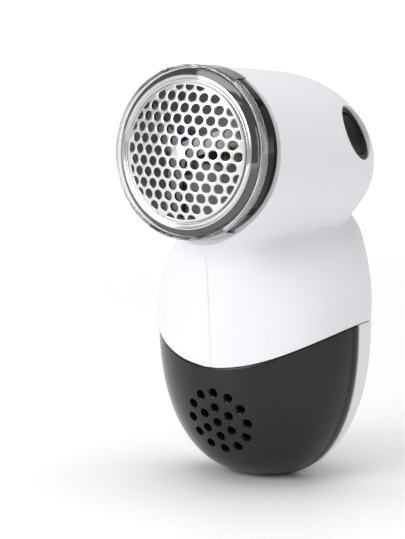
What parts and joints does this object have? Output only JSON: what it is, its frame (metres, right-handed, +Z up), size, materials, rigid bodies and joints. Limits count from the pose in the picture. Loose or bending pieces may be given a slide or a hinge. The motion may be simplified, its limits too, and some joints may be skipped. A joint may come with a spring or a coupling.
{
  "type": "fabric shaver",
  "caption": "Hand-held fabric shaver: barrel head with a domed perforated foil and spinning blades on an egg-shaped handle with a smoky lint bin.",
  "frame": {"origin": "centre of the small base flat that the shaver stands on", "axes": "+Z up, -Y towards the cutting face, +X towards the push button"},
  "size_m": [0.063, 0.081, 0.122],
  "materials": {
    "white_shell": "satin-gloss white moulding",
    "black_chrome": "near-black mirror plating",
    "ring_chrome": "dark mirror chrome",
    "foil_steel": "thin bright nickel-steel foil",
    "clear_guard": "clear moulded plastic",
    "chamber_grey": "grey moulding",
    "hub_blue": "dark blue moulding",
    "blade_steel": "ground spring steel",
    "spring_steel": "bright spring wire",
    "motor_steel": "drawn can",
    "magnet_dark": "ferrite",
    "armature_copper": "copper windings on a lacquered stack",
    "bronze": "sintered bronze",
    "nylon_white": "natural nylon",
    "terminal_brass": "stamped brass",
    "screw_steel": "zinc-plated screws",
    "inner_white": "unpolished white moulding",
    "smoky_bin": "smoky dark moulding",
    "tray_grey": "grey moulding",
    "cell_jacket": "plain printed sleeve",
    "contact_nickel": "nickel-plated strip",
    "bezel_dark": "dark gloss ring",
    "cap_black": "dished black button",
    "switch_black": "switch body",
    "board_green": "fibre board",
    "lead_red": "red insulation",
    "lead_black": "black insulation"
  },
  "bodies": {
    "body": {"housing_right": "white_shell", "housing_left": "white_shell", "head_collar": "black_chrome", "cutter_chamber": "chamber_grey", "motor_can": "motor_steel", "motor_magnets": "magnet_dark", "shaft_bushes": "bronze", "motor_end_cap": "nylon_white", "motor_terminals": "terminal_brass", "motor_screws": "screw_steel", "motor_cradle": "inner_white", "lint_duct": "inner_white", "seam_floor": "inner_white", "battery_tray": "tray_grey", "battery_cells": "cell_jacket", "cell_springs": "spring_steel", "cell_contacts": "contact_nickel", "button_bezel": "bezel_dark", "push_switch": "switch_black", "switch_bracket": "board_green", "wire_positive": "lead_red", "wire_negative": "lead_black", "wire_motor": "lead_red", "housing_screws": "screw_steel"},
    "foil_head": {"lock_ring": "ring_chrome", "foil": "foil_steel"},
    "height_guard": {"spacer_guard": "clear_guard"},
    "cutter": {"cutter_hub": "hub_blue", "cutter_blades": "blade_steel", "hub_spring": "spring_steel", "motor_armature": "armature_copper", "motor_shaft": "spring_steel"},
    "bin": {"lint_bin": "smoky_bin"},
    "door": {"battery_door": "white_shell"},
    "button": {"button_cap": "cap_black", "switch_plunger": "nylon_white"}
  },
  "joints": [
    {"name": "cutter_spin", "type": "hinge", "parent": "body", "child": "cutter", "pos_m": [0, -0.01915, 0.09526], "axis": [0, -0.9925, 0.1219], "continuous": true},
    {"name": "ring_twist", "type": "hinge", "parent": "body", "child": "foil_head", "pos_m": [0, -0.039, 0.0977], "axis": [0, -0.9925, 0.1219], "range_deg": [0, 25]},
    {"name": "guard_pull", "type": "slide", "parent": "body", "child": "height_guard", "axis": [0, -0.9925, 0.1219], "range_m": [0, 0.02]},
    {"name": "bin_slide", "type": "slide", "parent": "body", "child": "bin", "axis": [0, 0, -1], "range_m": [0, 0.055]},
    {"name": "door_slide", "type": "slide", "parent": "body", "child": "door", "axis": [0, 0, -1], "range_m": [0, 0.055]},
    {"name": "button_press", "type": "slide", "parent": "body", "child": "button", "axis": [-0.8595, -0.2628, -0.4384], "range_m": [0, 0.0015], "stiffness_N_per_m": 1500, "springref_m": -0.0005}
  ]
}
